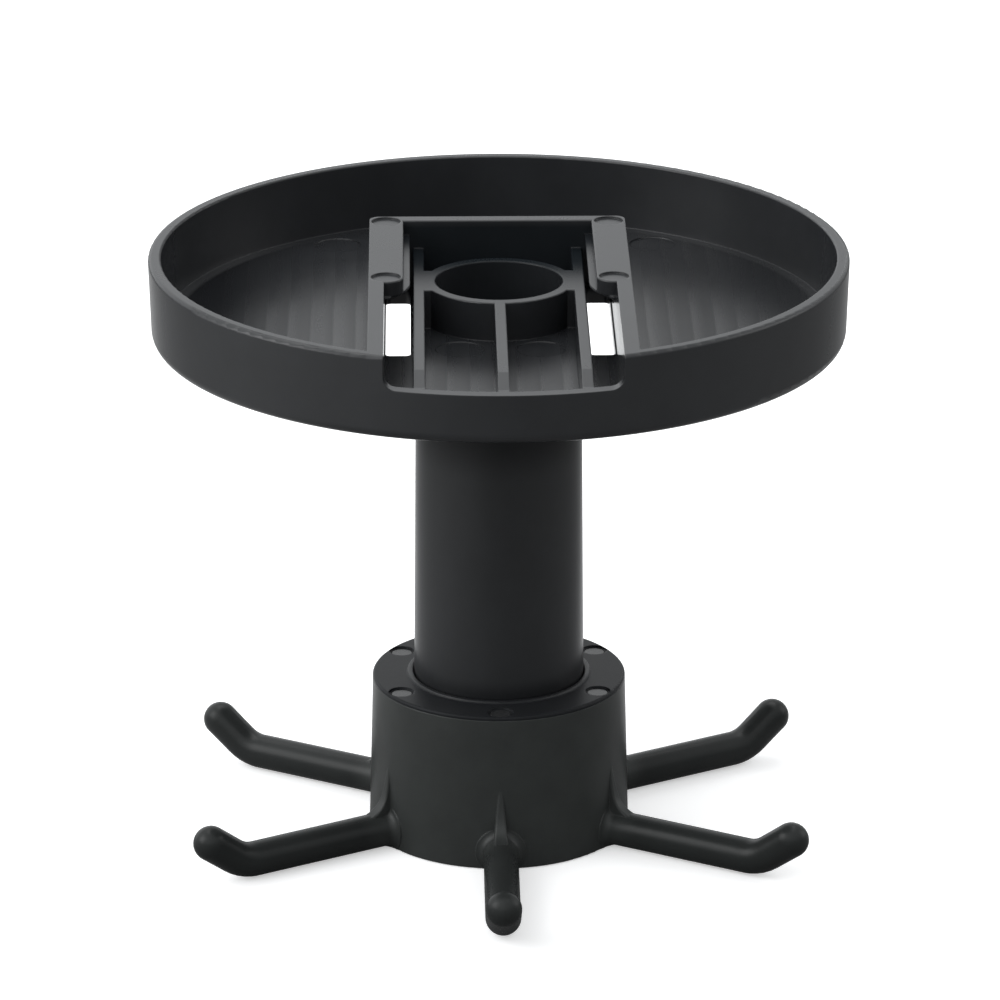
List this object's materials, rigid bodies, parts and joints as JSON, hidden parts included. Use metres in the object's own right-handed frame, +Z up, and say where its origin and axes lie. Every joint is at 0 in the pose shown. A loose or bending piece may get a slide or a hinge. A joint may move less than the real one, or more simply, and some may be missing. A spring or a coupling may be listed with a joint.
{
  "type": "rotating under-shelf hook rack",
  "caption": "Round slide-on tray with a channel, a hanging column and a turning hub of upturned hooks for utensils under a shelf.",
  "frame": {"origin": "on the turning axis, at the hub's flat underside", "axes": "+Z up along the turning axis towards the shelf, the open end of the slide channel faces -Y, one hook points along -Y at rest"},
  "size_m": [0.137, 0.1386, 0.1198],
  "materials": {
    "tray_plastic": "satin moulded ABS, fine grain",
    "column_plastic": "satin moulded ABS, fine grain",
    "hub_plastic": "satin moulded ABS, fine grain",
    "pin_plastic": "smooth",
    "retainer_plastic": "satin",
    "washer_plastic": "smooth acetal",
    "screw_steel": "zinc plated"
  },
  "bodies": {
    "tray_and_column": {"tray": "tray_plastic", "column_tube": "column_plastic", "retainer_disc": "retainer_plastic", "retainer_screws": "screw_steel", "slip_washer": "washer_plastic"},
    "hook_hub": {"hub_cup": "hub_plastic", "hub_cover": "hub_plastic", "cover_pins": "pin_plastic"}
  },
  "joints": [
    {"name": "hub_spin", "type": "hinge", "parent": "tray_and_column", "child": "hook_hub", "pos_m": [0, 0, 0.025], "axis": [0, 0, 1], "continuous": true}
  ]
}
